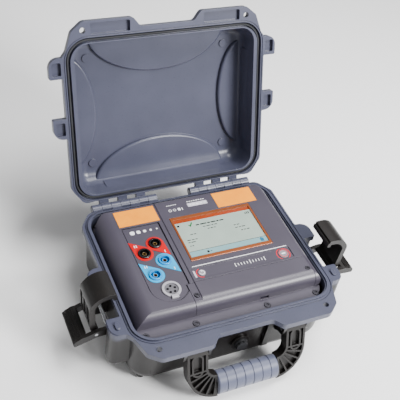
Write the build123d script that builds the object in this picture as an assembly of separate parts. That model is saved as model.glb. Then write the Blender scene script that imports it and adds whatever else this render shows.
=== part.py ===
from build123d import *
import math
import os

# Portable electrical tester built into a hinged, latched carrying case.
# Millimetres. X to the right, Y to the back, Z up. The origin is on the ground,
# under the middle of the base. The case is modelled closed, and the lid, the
# handle and the latches are then turned to the pose in which the case stands open.

# ---- driving dimensions ----
CASE_HALF = 141.5        # half width over the rim flange
EAR_HALF = 159.0         # half width over the latch ears
RIM_Z = 90.0             # parting plane between base and lid
FLANGE = 8.0             # thickness of each rim flange
BACK = 120.0             # back edge of the flanges
FRONT_BASE = -126.0      # front edge of the base's carrying ears
FRONT_LID = -123.5       # front edge of the lid's carrying ears
RIM_GAP = 0.4            # air between the closed rims
SKIN = 1.5               # printed labels lie this far into the panel
LID_DEPTH = 43.0         # inner depth of the lid under its raised cross
WALL = 4.0
HINGE_Y = 129.0
HINGE_Z = 84.6
LID_ANGLE = 110.0        # how far the lid stands open
LATCH_Y = -28.25         # middle of each latch
LATCH_WIDTH = 50.0
LATCH_OPEN = {"left": 65.0, "right": 80.0}
CLAW_TILT = 0.02         # claw tilt outwards for each degree of lever turn
HANDLE_LEAN = 20.4       # handle's lean away from the wall at rest
PANEL_Z = 102.0          # flat top of the instrument panel
STEP = 1.2               # the display side stands this much higher
LEDGE_Z = 82.0           # ledge around the panel that its screws hold down
FIT = 0.05               # radial clearance of every turning pin


def prism(points, radii, z0, z1):
    """Upright prism over a closed outline of (x, y) points with rounded corners."""
    face = make_face(FilletPolyline(*points, radius=radii, close=True))
    return Pos(0, 0, z0) * extrude(face, z1 - z0)


def side_prism(face, y0, y1):
    """Solid from a face drawn in X and Z, reaching from y0 to y1."""
    return Pos(0, y1, 0) * extrude(Plane.XZ * face, y1 - y0)


def long_prism(face, x0, x1):
    """Solid from a face drawn in Y and Z, reaching from x0 to x1."""
    return Pos(x0, 0, 0) * extrude(Plane.YZ * face, x1 - x0)


def block(x0, x1, y0, y1, z0, z1):
    return Pos((x0 + x1) / 2, (y0 + y1) / 2, (z0 + z1) / 2) * Box(x1 - x0, y1 - y0, z1 - z0)


def rod(x, y, z0, z1, radius):
    return Pos(x, y, (z0 + z1) / 2) * Cylinder(radius, z1 - z0)


def cross_rod(x0, x1, y, z, radius):
    return Pos((x0 + x1) / 2, y, z) * Rot(0, 90, 0) * Cylinder(radius, x1 - x0)


def depth_rod(x, y0, y1, z, radius):
    return Pos(x, (y0 + y1) / 2, z) * Rot(90, 0, 0) * Cylinder(radius, y1 - y0)


def rounded(x0, x1, y0, y1, z0, z1, corner):
    face = RectangleRounded(x1 - x0, y1 - y0, corner)
    return Pos((x0 + x1) / 2, (y0 + y1) / 2, z0) * extrude(face, z1 - z0)


def mirrored(solid):
    return mirror(solid, about=Plane.YZ)


def turned(solid, point, axis, degrees):
    """The solid turned about an axis through a point."""
    return solid.rotate(Axis(point, axis), degrees)


def save(name, solid):
    export_step(solid, f"parts/{name}.step")


# ---- the rim outline that base and lid share ----
EAR_FRONT = (-80.0, -54.5)   # front latch ear, from its round side to its flat side
EAR_REAR = (-2.0, 24.4)      # rear latch ear
BODY_HALF = 137.0
BODY_FRONT = -103.0
BODY_BACK = 118.0
LOCK_HOLE = (113.0, -112.0)
LOCK_R = 3.75
SEAL_HALF = 134.0
SEAL_FRONT = -99.5
SEAL_BACK = 115.0
SEAL_CORNER = 27.0


def rim_outline(front, recess):
    right = [
        (37, recess, 7), (47, front, 7), (113, front, 11), (128, front + 12, 8),
        (136, -88, 9), (CASE_HALF, EAR_FRONT[0] - 1, 2), (EAR_HALF, EAR_FRONT[0], 13),
        (EAR_HALF, EAR_FRONT[1], 2), (CASE_HALF, EAR_FRONT[1], 1.5),
        (CASE_HALF, EAR_REAR[0], 1.5), (EAR_HALF, EAR_REAR[0], 2),
        (EAR_HALF, EAR_REAR[1], 13), (CASE_HALF, EAR_REAR[1] + 1, 2),
        (CASE_HALF, 98, 12), (126, BACK, 12),
    ]
    left = [(-x, y, r) for x, y, r in reversed(right)]
    both = right + left
    return [(x, y) for x, y, r in both], [r for x, y, r in both]


def seal_ring(width, z0, z1, out=0.0):
    """Flat ring along the seal, or along a line further out from it."""
    far, near = out + width / 2, out - width / 2
    outer = rounded(-SEAL_HALF - far, SEAL_HALF + far, SEAL_FRONT - far, SEAL_BACK + far,
                    z0, z1, SEAL_CORNER + far)
    inner = rounded(-SEAL_HALF - near, SEAL_HALF + near, SEAL_FRONT - near, SEAL_BACK + near,
                    z0, z1, SEAL_CORNER + near)
    return outer - inner


# ---- hinge knuckles ----
KNUCKLE_R = 6.5
PIN_R = 2.5
GROUP = (25.0, 118.0)        # each hinge group reaches between these x
SEGMENTS = 7
KNUCKLE_GAP = 0.4


def knuckles(first, web):
    """Every second knuckle of both groups, from segment first, each joined to its web."""
    pitch = (GROUP[1] - GROUP[0]) / SEGMENTS
    found = []
    for index in range(first, SEGMENTS, 2):
        x0 = GROUP[0] + index * pitch + KNUCKLE_GAP / 2
        x1 = x0 + pitch - KNUCKLE_GAP
        for side in (-1, 1):
            a, b = sorted((side * x0, side * x1))
            found.append(cross_rod(a, b, HINGE_Y, HINGE_Z, KNUCKLE_R) + web(a, b))
    return found


def hinge_bore(radius):
    return cross_rod(-GROUP[1] - 5, GROUP[1] + 5, HINGE_Y, HINGE_Z, radius)


def base_web(a, b):
    return block(a, b, BODY_BACK - 3, HINGE_Y, HINGE_Z - KNUCKLE_R, HINGE_Z + 3.5)


def lid_web(a, b):
    high = RIM_Z + RIM_GAP + FLANGE
    face = make_face(Polyline((BACK - 1.5, RIM_Z + RIM_GAP + 1), (BACK - 1.5, high - 1),
                              (HINGE_Y, high - 2), (HINGE_Y + KNUCKLE_R - 0.2, HINGE_Z + 3),
                              (HINGE_Y, HINGE_Z), (HINGE_Y - 4.5, RIM_Z + RIM_GAP + 1), close=True))
    return long_prism(face, a, b)


# ---- base ----
GRIP_PIVOT_Y = -118.0
GRIP_PIVOT_Z = 73.0
GRIP_PIN_R = 3.0
LUG_X = ((49.0, 53.0), (81.0, 85.0))
LATCH_PIN = (151.0, 64.0)    # x and z of the lever's pin in the base
LATCH_PIN_R = 2.3
PANEL_SCREWS = (-119.0, -54.0, 44.0, 115.0)
SCREW_Y = -85.5
VALVE = (4.0, 44.0)          # x and z of the pressure valve
FEET = [(x, y) for x in (-100, 100) for y in (-70, 88)]
BOARD_POSTS = [(x, y) for x in (-105, 95) for y in (-60, 80)]
BOARD_Z = 44.0


def tub(half, front, back, z_top, z_bottom, corner, edge):
    """Drafted tub that narrows from z_top to z_bottom, with its far edge rounded."""
    depth = abs(z_top - z_bottom)
    face = RectangleRounded(2 * half, back - front, corner)
    solid = extrude(face, depth, taper=2)
    far = solid.faces().sort_by(Axis.Z)[-1]
    solid = fillet(far.edges(), edge)
    if z_bottom < z_top:
        solid = Rot(180, 0, 0) * solid
    return Pos(0, (front + back) / 2, z_top) * solid


def base_shell():
    floor = 3.0
    shell = tub(BODY_HALF, BODY_FRONT, BODY_BACK, RIM_Z, floor, 30, 20)
    points, radii = rim_outline(FRONT_BASE, -113.5)
    shell += prism(points, radii, RIM_Z - FLANGE, RIM_Z)
    # ear columns, with rounded feet
    for y0, y1 in (EAR_FRONT, EAR_REAR):
        column = block(125, EAR_HALF, y0, y1, 28, RIM_Z - 1)
        outer = column.edges().filter_by(Axis.Z).group_by(Axis.X)[-1]
        column = fillet(outer, 9)
        column = fillet(column.faces().sort_by(Axis.Z)[0].edges().group_by(Axis.X)[-1], 6)
        shell += [column, mirrored(column)]
    # standing cross that matches the lid's raised cross
    shell += rounded(-78, 78, -62, 80, 0, floor + 1, 20)
    # lugs for the handle, gussets under the front flange and skids on the front wall
    for x0, x1 in LUG_X:
        lug = make_face(FilletPolyline((-100, RIM_Z - 2), (-100, 50), (-112, 62), (-124, 66),
                                       (-125, RIM_Z - 2), radius=[0, 5, 6, 6, 0], close=True))
        plate = long_prism(lug, x0, x1)
        shell += [plate, mirrored(plate)]
    gusset = make_face(Polyline((-100, RIM_Z - 2), (-100, 44), (-116, 66), (-121, RIM_Z - 2), close=True))
    for x in (90, 97, 104):
        rib = long_prism(gusset, x, x + 2.5)
        shell += [rib, mirrored(rib)]
    skid = make_face(Polyline((-95, RIM_Z - 4), (-107, RIM_Z - 12), (-105.5, 24), (-95, 12), close=True))
    plate = long_prism(skid, 38, 46)
    shell += [plate, mirrored(plate)]
    shell += depth_rod(VALVE[0], BODY_FRONT - 2, BODY_FRONT + 4, VALVE[1], 13)
    shell += seal_ring(3.0, RIM_Z - 1, RIM_Z + 2.4)
    shell += knuckles(0, base_web)
    shell -= seal_ring(1.2, RIM_Z - 1.0, RIM_Z + 1, out=4.4)
    # hollow
    cavity = tub(BODY_HALF - 6, BODY_FRONT + 7, BODY_BACK - 5, RIM_Z + 5, floor + WALL, 24, 16)
    shell -= cavity
    for x in PANEL_SCREWS:
        shell += rod(x, SCREW_Y, floor + 1, LEDGE_Z - WALL, 5) & block(-130, 130, -98, 0, 0, 90)
    for x, y in BOARD_POSTS:
        shell += rod(x, y, floor + 1, BOARD_Z, 4.5)
    for side in (-1, 1):
        shell += rod(side * 108, 100, floor + 1, LEDGE_Z - WALL, 6)
    # bores
    shell -= hinge_bore(PIN_R + 0.02)
    for side in (-1, 1):
        shell -= rod(side * LOCK_HOLE[0], LOCK_HOLE[1], RIM_Z - FLANGE - 1, RIM_Z + 1, LOCK_R)
        shell -= cross_rod(side * 67 - 20, side * 67 + 20, GRIP_PIVOT_Y, GRIP_PIVOT_Z, GRIP_PIN_R + 0.02)
        shell -= depth_rod(side * LATCH_PIN[0], -68, 12, LATCH_PIN[1], LATCH_PIN_R + 0.02)
    for x in PANEL_SCREWS:
        shell -= rod(x, SCREW_Y, LEDGE_Z - 22, LEDGE_Z, 1.7)
    for x, y in BOARD_POSTS:
        shell -= rod(x, y, BOARD_Z - 10, BOARD_Z + 1, 1.4)
    shell -= depth_rod(VALVE[0], BODY_FRONT - 5, BODY_FRONT + 9, VALVE[1], 6.05)
    for x, y in FEET:
        shell -= rod(x, y, 0, floor + 1.2, 9.05)
    return shell


# ---- lid, modelled closed ----
LID_Z = RIM_Z + RIM_GAP
SCALLOPS = (                 # centre and half axes of the four inward bulges of the lid
    (0.0, -99.0, 96.0, 56.0), (0.0, 114.0, 96.0, 57.0),
    (-130.0, 6.0, 37.0, 76.0), (130.0, 6.0, 37.0, 76.0),
)


def lid_close_to_open(solid):
    return turned(solid, (0, HINGE_Y, HINGE_Z), (1, 0, 0), -LID_ANGLE)


def scallop(index, grow, z0, z1):
    x, y, a, b = SCALLOPS[index]
    return Pos(x, y, z0) * extrude(Ellipse(a + grow, b + grow), z1 - z0)


def lid_shell():
    top = LID_Z + LID_DEPTH + WALL
    drop = 6.0
    shell = tub(130, -100, 114, LID_Z, top, 27, 12)
    # outside scallops that leave a raised cross
    for index in range(4):
        shell -= scallop(index, -1.5, top - drop, top + 1)
    points, radii = rim_outline(FRONT_LID, -111.0)
    shell += prism(points, radii, LID_Z, LID_Z + FLANGE)
    # catch ridges for the claws
    for side in (-1, 1):
        a, b = sorted((side * 137.3, side * CASE_HALF))
        shell += block(a, b, EAR_FRONT[1] - 1, EAR_REAR[0] + 1, LID_Z + FLANGE - 1, LID_Z + FLANGE + 2.0)
    # inside: a cavity with four bulges left standing
    cavity = tub(126, -95, 110, LID_Z - 1, LID_Z + LID_DEPTH, 20, 17)
    depth = LID_Z + LID_DEPTH
    for index in range(4):
        bulge = scallop(index, 2.5, depth - drop, depth + 5)
        bulge = fillet(bulge.faces().sort_by(Axis.Z)[0].edges(), 3)
        cavity -= bulge
    # the bulges run down the walls as wedges that fade out towards the rim
    for edge, way in ((-95, 1), (110, -1)):
        wedge = make_face(Polyline((edge - way, LID_Z + 4), (edge + 4.6 * way, depth + 1),
                                   (edge - 5 * way, depth + 1), (edge - 5 * way, LID_Z + 4), close=True))
        cavity -= long_prism(wedge, -88, 88)
    for way in (-1, 1):
        wedge = make_face(Polyline((127 * way, LID_Z + 4), (121.4 * way, depth + 1),
                                   (131 * way, depth + 1), (131 * way, LID_Z + 4), close=True))
        cavity -= side_prism(wedge, -60, 72)
    shell -= cavity
    shell -= seal_ring(6.0, LID_Z - 1, LID_Z + 6)
    shell -= seal_ring(1.2, LID_Z - 1, LID_Z + 1.0, out=5.0)
    for x, y in [(x, y) for x in (-99, 99) for y in (-66, 81)]:
        shell += rod(x, y, depth - 1.6, depth + 1, 5.5)
    # pockets in the ears
    for side in (-1, 1):
        shell -= rounded(*sorted((side * 51, side * 103)), -120.5, -106.5, LID_Z - 1, LID_Z + 5, 2)
        for y0, y1 in (EAR_FRONT, EAR_REAR):
            shell -= rounded(*sorted((side * 143.5, side * 155.5)), y0 + 5, y1 - 4, LID_Z - 1, LID_Z + 5, 2)
        shell -= rod(side * LOCK_HOLE[0], LOCK_HOLE[1], LID_Z - 1, LID_Z + FLANGE + 1, LOCK_R)
    shell += knuckles(1, lid_web)
    shell -= hinge_bore(PIN_R + FIT)
    return shell


# ---- instrument panel ----
PANEL_X = (-128.0, 125.0)
PANEL_Y = (-76.0, 105.0)
NOSE = 23.0                  # width of the round left shoulder
SPLIT_X = -41.0              # the display side starts here
BAY = (-98.0, -46.0)         # sunk terminal bay
BAY_FRONT = -61.0
BAY_BACK = 70.0
BAY_GROOVE = 2.7             # depth of the groove that follows the bay's edge
COVER_GAP = 0.5
LABEL_BACK = 100.0
DISPLAY = (28.0, 31.0)       # middle of the display in x and y
BEZEL = (118.0, 78.0)
VIEW = (112.0, 67.0)
STRIP = (-36.0, 104.0, -37.0, -19.5)
STRIP_SUNK = 1.0
COVER = (-50.5, 117.0, -40.5)
COVER_SCREWS = (-45.0, 111.0)
COVER_SCREW_Y = -60.0
TERMINALS = {"current_1": (-64, 35), "current_2": (-83, 22), "voltage_1": (-62, 5), "voltage_2": (-82, -15)}
AUX = (-71.0, -41.0)
POWER = (-25.0, -28.5)
START = (92.0, -28.5)
TOP_Z = PANEL_Z + STEP


def panel_mass(inset, z0):
    """The panel's raised body, drawn in by inset on every outer face."""
    left, right = PANEL_X[0] + inset, PANEL_X[1] - inset
    low, high = PANEL_Z - inset, TOP_Z - inset
    nose = NOSE - inset
    shoulder = 11.0 - inset
    across = Polyline((left, low - nose), (left, z0), (right, z0), (right, high - shoulder))
    across += Line((right - shoulder, high), (SPLIT_X + 1.2, high))
    across += Line((SPLIT_X + 1.2, high), (SPLIT_X, low))
    across += Line((SPLIT_X, low), (left + nose, low))
    across += RadiusArc((left, low - nose), (left + nose, low), nose)
    across += RadiusArc((right - shoulder, high), (right, high - shoulder), shoulder)
    front, back = PANEL_Y[0] + inset, PANEL_Y[1] - inset
    round_front, round_back = 13.0 - inset, 5.0 - min(inset, 2)
    along = Polyline((back, high - round_back), (back, z0), (front, z0), (front, high - round_front))
    along += Line((front + round_front, high), (back - round_back, high))
    along += RadiusArc((front, high - round_front), (front + round_front, high), round_front)
    along += RadiusArc((back - round_back, high), (back, high - round_back), round_back)
    wide = side_prism(make_face(across), front - 1, back + 1)
    back_corners = rounded(left, right, front - 60, back, z0 - 1, high + 1, 25 - inset)
    return wide & long_prism(make_face(along), left - 1, right + 1) & back_corners


def bay_region(grow, z0):
    """Stretch of the sunk terminal bay, from z0 up to above the panel."""
    radius = (BAY[1] - BAY[0]) / 2
    middle, front = (BAY[0] + BAY[1]) / 2, BAY_FRONT + radius
    return (block(BAY[0] - grow, BAY[1] + grow, front, BAY_BACK + grow, z0, PANEL_Z + 5)
            + rod(middle, front, z0, PANEL_Z + 5, radius + grow))


def cover_region(grow):
    """Stretch of the panel that the battery cover takes up."""
    x0, x1, y1 = COVER
    return block(x0 - grow, x1 + grow, PANEL_Y[0] - 5, y1 + grow, LEDGE_Z + 1.2 - grow, TOP_Z + 5)


def drop_label(centre, tip, radius, z0, z1):
    """Teardrop: a disc around centre drawn out to a point at tip."""
    dx, dy = tip[0] - centre[0], tip[1] - centre[1]
    reach = math.hypot(dx, dy)
    turn = math.degrees(math.atan2(dy, dx))
    spread = math.degrees(math.acos(radius / reach))
    touch = [(centre[0] + radius * math.cos(math.radians(turn + s * spread)),
              centre[1] + radius * math.sin(math.radians(turn + s * spread))) for s in (1, -1)]
    wedge = make_face(Polyline(touch[0], tip, touch[1], centre, close=True))
    return Pos(0, 0, z0) * extrude(wedge, z1 - z0) + rod(*centre, z0, z1, radius)


def terminal_label(names):
    """Both teardrops of one colour, one pointing forwards and one backwards."""
    z0 = PANEL_Z - SKIN
    label = None
    for name, (dx, dy) in zip(names, ((13.5, -23.0), (-14.5, 23.5))):
        x, y = TERMINALS[name]
        drop = drop_label((x, y), (x + dx, y + dy), LABEL_R, z0, z0 + 0.5)
        label = drop if label is None else label + drop
    for name in names:
        x, y = TERMINALS[name]
        label -= rod(x, y, z0 - 1, z0 + 2, SOCKET_R + 1.0)
    return label


SOCKET_R = 7.4
LABEL_R = 11.8              # round part of each teardrop
SOCKET_DEPTH = 26.0
AUX_R = 11.0


def front_panel():
    panel = panel_mass(0, LEDGE_Z - WALL)
    panel += rounded(PANEL_X[0] + 0.5, PANEL_X[1] + 1, -91.5, 109, LEDGE_Z - WALL, LEDGE_Z, 20)
    panel -= panel_mass(3.0, LEDGE_Z - WALL - 1)
    panel -= block(PANEL_X[0] + 4, PANEL_X[1] - 4, PANEL_Y[0] + 4, PANEL_Y[1] - 4, LEDGE_Z - 10, LEDGE_Z + 0.01)
    # terminal bay with a round front end and a shadow groove round it, and the accent recesses
    panel -= bay_region(0, PANEL_Z - SKIN)
    panel -= bay_region(0, PANEL_Z - BAY_GROOVE) - bay_region(-1.3, PANEL_Z - BAY_GROOVE - 1)
    panel -= accent(0, 0.0)
    panel -= accent(1, 0.0)
    # display recess and window
    panel -= Pos(*DISPLAY, TOP_Z) * Box(BEZEL[0] + 0.4, BEZEL[1] + 0.4, 2 * SKIN)
    panel -= Pos(*DISPLAY, TOP_Z) * Box(VIEW[0], VIEW[1], 20)
    # sunk strip with its two keys
    x0, x1, y0, y1 = STRIP
    panel -= block(x0, x1, y0, y1, TOP_Z - STRIP_SUNK, TOP_Z + 5)
    panel -= rod(*POWER, TOP_Z - 10, TOP_Z + 5, 5.3)
    panel -= rod(*START, TOP_Z - 10, TOP_Z + 5, 7.3)
    panel -= cover_region(COVER_GAP)
    for x, y in TERMINALS.values():
        panel -= rod(x, y, PANEL_Z - 10, PANEL_Z + 5, SOCKET_R)
    panel -= rod(*AUX, PANEL_Z - 10, PANEL_Z + 5, AUX_R)
    panel -= block(AUX[0] - 5.2, AUX[0] + 5.2, AUX[1] - AUX_R - 4.2, AUX[1], PANEL_Z - 10, PANEL_Z + 5)
    for x in PANEL_SCREWS:
        panel -= rod(x, SCREW_Y, LEDGE_Z - 10, LEDGE_Z + 5, 2.2)
        panel -= rod(x, SCREW_Y, LEDGE_Z - 1.0, LEDGE_Z + 12, 4.6)
    # bridge under the cover's front edge, tapped for its screws
    for x in COVER_SCREWS:
        panel += rod(x, COVER_SCREW_Y, LEDGE_Z - WALL, TOP_Z - 4.8, 4.0)
        panel -= rod(x, COVER_SCREW_Y, LEDGE_Z - WALL - 1, TOP_Z, 1.4)
    panel += block(PANEL_X[0] + 2, PANEL_X[1] - 2, COVER_SCREW_Y - 1.5, COVER_SCREW_Y + 1.5, LEDGE_Z - WALL, LEDGE_Z)
    return panel


def accent(index, shrink):
    """Coloured corner panel, left over the bay or right beside the display's top."""
    x0, x1 = ((-99.6, -43.0), (43.0, 102.0))[index]
    z = (PANEL_Z, TOP_Z)[index]
    return block(x0 + shrink, x1 - shrink, 72 + shrink, LABEL_BACK - shrink, z - SKIN, z + (0.3 if shrink else 5))


def battery_cover():
    cover = (panel_mass(0, LEDGE_Z) - panel_mass(3.0, LEDGE_Z - 1)) & cover_region(0)
    for x in COVER_SCREWS:
        cover -= rod(x, COVER_SCREW_Y, TOP_Z - 10, TOP_Z + 5, 1.8)
        cover -= rod(x, COVER_SCREW_Y, TOP_Z - 1.6, TOP_Z + 5, 3.6)
    # relief notch for a fingertip in the lower edge
    return cover - rod(44, PANEL_Y[0], LEDGE_Z, LEDGE_Z + 6, 6)


def screw(x, y, z_head, head_r, shank_r, length):
    """Pan-head screw with a hexagon socket; z_head is the seat under its head."""
    body = rod(x, y, z_head, z_head + 1.8, head_r)
    body = fillet(body.faces().sort_by(Axis.Z)[-1].edges(), 0.6)
    body += rod(x, y, z_head - length, z_head, shank_r)
    hexagon = Pos(x, y, z_head + 0.7) * extrude(RegularPolygon(head_r * 0.5, 6), 2)
    return body - hexagon


def socket_body(x, y):
    """Shrouded 4 mm socket: collar, barrel, ring groove for the plug's shroud and a pillar."""
    seat = PANEL_Z - SKIN
    body = rod(x, y, seat, seat + 2.6, SOCKET_R + 0.9)
    body = fillet(body.faces().sort_by(Axis.Z)[-1].edges(), 0.8)
    body += rod(x, y, seat - SOCKET_DEPTH, seat, SOCKET_R - 0.05)
    body -= rod(x, y, seat - 20, seat + 5, 5.9) - rod(x, y, seat - 21, seat + 0.6, 3.5)
    return body - rod(x, y, seat - SOCKET_DEPTH - 1, seat + 5, 2.6)


def socket_contact(x, y):
    """Brass sleeve with a blind 4 mm bore and a solder stud."""
    seat = PANEL_Z - SKIN
    sleeve = rod(x, y, seat - SOCKET_DEPTH, seat + 0.4, 2.6) - rod(x, y, seat - 20, seat + 5, 2.0)
    return sleeve + rod(x, y, seat - SOCKET_DEPTH - 8, seat - SOCKET_DEPTH, 1.5)


def aux_shell():
    seat = PANEL_Z - SKIN
    ring = rod(*AUX, seat, seat + 1.8, AUX_R + 1.2)
    ring = fillet(ring.faces().sort_by(Axis.Z)[-1].edges(), 0.7)
    ring += rod(*AUX, seat - 18, seat, AUX_R - 0.1)
    ring -= rod(*AUX, seat - 19, seat + 5, 9.0)
    ring -= block(AUX[0] - 5.0, AUX[0] + 5.0, AUX[1] - AUX_R - 6, AUX[1] - 9.2, seat - 4, seat + 5)
    return ring


def aux_insert():
    seat = PANEL_Z - SKIN
    insert = rod(*AUX, seat - 16, seat + 0.6, 9.0)
    for index in range(5):
        angle = math.radians(90 + 72 * index)
        x = AUX[0] + 5.0 * math.cos(angle)
        y = AUX[1] + 5.0 * math.sin(angle)
        insert -= rod(x, y, seat - 12, seat + 2, 1.8)
    return insert


def aux_release():
    """Sliding release tab in front of the round connector."""
    seat = PANEL_Z - SKIN
    tab = block(AUX[0] - 4.6, AUX[0] + 4.6, AUX[1] - AUX_R - 3.6, AUX[1] - 9.6, seat - 3, seat + 2.6)
    return fillet(tab.faces().sort_by(Axis.Z)[-1].edges(), 0.8)


def key(x, y, radius, rise):
    """Round key cap with a hidden collar that keeps it in the panel."""
    cap = rod(x, y, TOP_Z - 5, TOP_Z - STRIP_SUNK + rise, radius)
    cap = fillet(cap.faces().sort_by(Axis.Z)[-1].edges(), 0.5)
    return cap + rod(x, y, TOP_Z - 6.6, TOP_Z - 5, radius + 1.2)


def display_bezel():
    frame = Pos(*DISPLAY, TOP_Z - SKIN + 0.95) * Box(BEZEL[0], BEZEL[1], 1.9)
    frame = fillet(frame.faces().sort_by(Axis.Z)[-1].edges(), 0.8)
    return frame - Pos(*DISPLAY, TOP_Z) * Box(VIEW[0] + 0.2, VIEW[1] + 0.2, 10)


def touch_lens():
    return Pos(*DISPLAY, TOP_Z - SKIN - 0.05) * Box(VIEW[0], VIEW[1], 1.3)


def display_module():
    module = Pos(*DISPLAY, TOP_Z - 5.6) * Box(VIEW[0] + 4, VIEW[1] + 4, 4.8)
    return module + Pos(*DISPLAY, TOP_Z - 2.7) * Box(VIEW[0] - 1, VIEW[1] - 1, 1.0)


# ---- electronics inside ----
def main_board():
    board = Pos(-5, 10, BOARD_Z + 0.8) * Box(214, 154, 1.6)
    for x, y in BOARD_POSTS:
        board -= rod(x, y, BOARD_Z - 1, BOARD_Z + 3, 1.7)
    return board


def display_board():
    return Pos(*DISPLAY, TOP_Z - 9.0) * Box(126, 84, 1.6)


def transformer():
    core = Pos(-60, 60, BOARD_Z + 1.6 + 14) * Box(46, 34, 28)
    core += Pos(-60, 60, BOARD_Z + 1.6 + 14) * Box(30, 46, 20)
    return core


def capacitor(x):
    can = rod(x, 62, BOARD_Z + 1.6, BOARD_Z + 27, 8)
    return fillet(can.faces().sort_by(Axis.Z)[-1].edges(), 1)


def battery_holder():
    x0, x1 = -36, 104
    tray = block(x0, x1, -74, -20, 52, 76) - block(x0 + 2, x1 - 2, -72, -22, 54, 90)
    return tray


def battery_cells():
    cells = cross_rod(-32, 100, -60, 66, 10.8)
    cells += cross_rod(-32, 100, -34.5, 66, 10.8)
    return cells + block(-32, 100, -52, -44, 58, 66)


# ---- handle, modelled hanging straight down from its pins ----
ARM_OUT = 80.5
ARM_IN = 53.5
GRIP_HALF = 41.0
GRIP_TOP = 37.0              # distance from the pins to the grip
GRIP_LOW = 69.0
ARM_BEND = 42.0              # outer radius of the frame's corners
ARM_THICK = 13.0


def handle_close_to_rest(solid):
    return turned(solid, (0, GRIP_PIVOT_Y, GRIP_PIVOT_Z), (1, 0, 0), -HANDLE_LEAN)


def handle_frame():
    """U-shaped frame with loops and ribs in the pockets of both faces, and a core bar."""
    z = GRIP_PIVOT_Z
    outline = FilletPolyline(
        (ARM_OUT, z + 6), (ARM_OUT, z - GRIP_LOW), (-ARM_OUT, z - GRIP_LOW), (-ARM_OUT, z + 6),
        (-ARM_IN, z + 6), (-ARM_IN, z - GRIP_TOP), (ARM_IN, z - GRIP_TOP), (ARM_IN, z + 6),
        radius=[5, ARM_BEND, ARM_BEND, 5, 5, 13, 13, 5], close=True)
    band = make_face(outline)
    ends = band - Pos(0, z - 53) * Rectangle(2 * GRIP_HALF, 60)
    frame = side_prism(ends, GRIP_PIVOT_Y - ARM_THICK / 2, GRIP_PIVOT_Y + ARM_THICK / 2)
    pocket = None
    for face in ends.faces():
        inner = offset(face, -3.2)
        pocket = inner if pocket is None else pocket + inner
    cuts = side_prism(pocket, GRIP_PIVOT_Y - ARM_THICK, GRIP_PIVOT_Y - 2)
    cuts += side_prism(pocket, GRIP_PIVOT_Y + 2, GRIP_PIVOT_Y + ARM_THICK)
    keep = None
    for side in (-1, 1):
        eye = cross_rod(side * 67 - 14, side * 67 + 14, GRIP_PIVOT_Y, z, ARM_THICK / 2)
        eye += block(side * 67 - 14, side * 67 + 14, GRIP_PIVOT_Y - 6.5, GRIP_PIVOT_Y + 6.5, z - 3, z + 3)
        loop = Pos(side * 67, z - 17) * Rot(0, 0, 90) * (SlotOverall(32, 15.5) - SlotOverall(27, 10.5))
        eye += side_prism(loop, GRIP_PIVOT_Y - ARM_THICK / 2, GRIP_PIVOT_Y + ARM_THICK / 2)
        for index in range(6):
            angle = 2 + 16 * index
            rib = Pos(side * 40, GRIP_PIVOT_Y, z - 26) * Rot(0, side * angle, 0) * Pos(side * 28, 0, 0)
            eye += rib * Box(56, ARM_THICK, 2.2)
        keep = eye if keep is None else keep + eye
    frame -= cuts - keep
    frame += cross_rod(-GRIP_HALF - 1, GRIP_HALF + 1, GRIP_PIVOT_Y, z - 53, 8.0)
    for side in (-1, 1):
        frame -= cross_rod(side * 67 - 15, side * 67 + 15, GRIP_PIVOT_Y, z, GRIP_PIN_R + FIT)
    return frame


def handle_grip():
    """Soft oval sleeve with finger grooves around the core bar."""
    z = GRIP_PIVOT_Z - 53
    half = GRIP_HALF - 0.1
    sleeve = Pos(-half, GRIP_PIVOT_Y, z) * extrude(Plane.YZ * Ellipse(13.5, 16.0), 2 * half)
    sleeve = fillet(sleeve.edges(), 1.5)
    sleeve -= cross_rod(-50, 50, GRIP_PIVOT_Y, z, 8.0)
    for index in range(6):
        x = -30 + 12 * index
        ring = Pos(x - 0.7, GRIP_PIVOT_Y, z) * extrude(Plane.YZ * (Ellipse(15, 18) - Ellipse(12.7, 15.2)), 1.4)
        sleeve -= ring
    return sleeve


# ---- latches, modelled closed on the right side ----
CLAW_PIN = (157.0, 48.0)
CLAW_PIN_R = 2.0
CHEEK = 5.0                  # thickness of the lever's cheeks


def rotate_xz(point, pivot, degrees):
    angle = math.radians(degrees)
    dx, dz = point[0] - pivot[0], point[1] - pivot[1]
    return (pivot[0] + dx * math.cos(angle) - dz * math.sin(angle),
            pivot[1] + dx * math.sin(angle) + dz * math.cos(angle))


def opened(solid, degrees, tilts):
    """A latch piece moved from its closed pose by a lever turn; a claw also tilts back."""
    solid = turned(solid, (LATCH_PIN[0], 0, LATCH_PIN[1]), (0, -1, 0), degrees)
    if tilts:
        x, z = rotate_xz(CLAW_PIN, LATCH_PIN, degrees)
        solid = turned(solid, (x, 0, z), (0, 1, 0), degrees * (1 + CLAW_TILT))
    return solid


def link_face(p, q, radius):
    length = math.dist(p, q)
    angle = math.degrees(math.atan2(q[1] - p[1], q[0] - p[0]))
    return Pos((p[0] + q[0]) / 2, (p[1] + q[1]) / 2) * Rot(0, 0, angle) * SlotCenterToCenter(length, 2 * radius)


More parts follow.
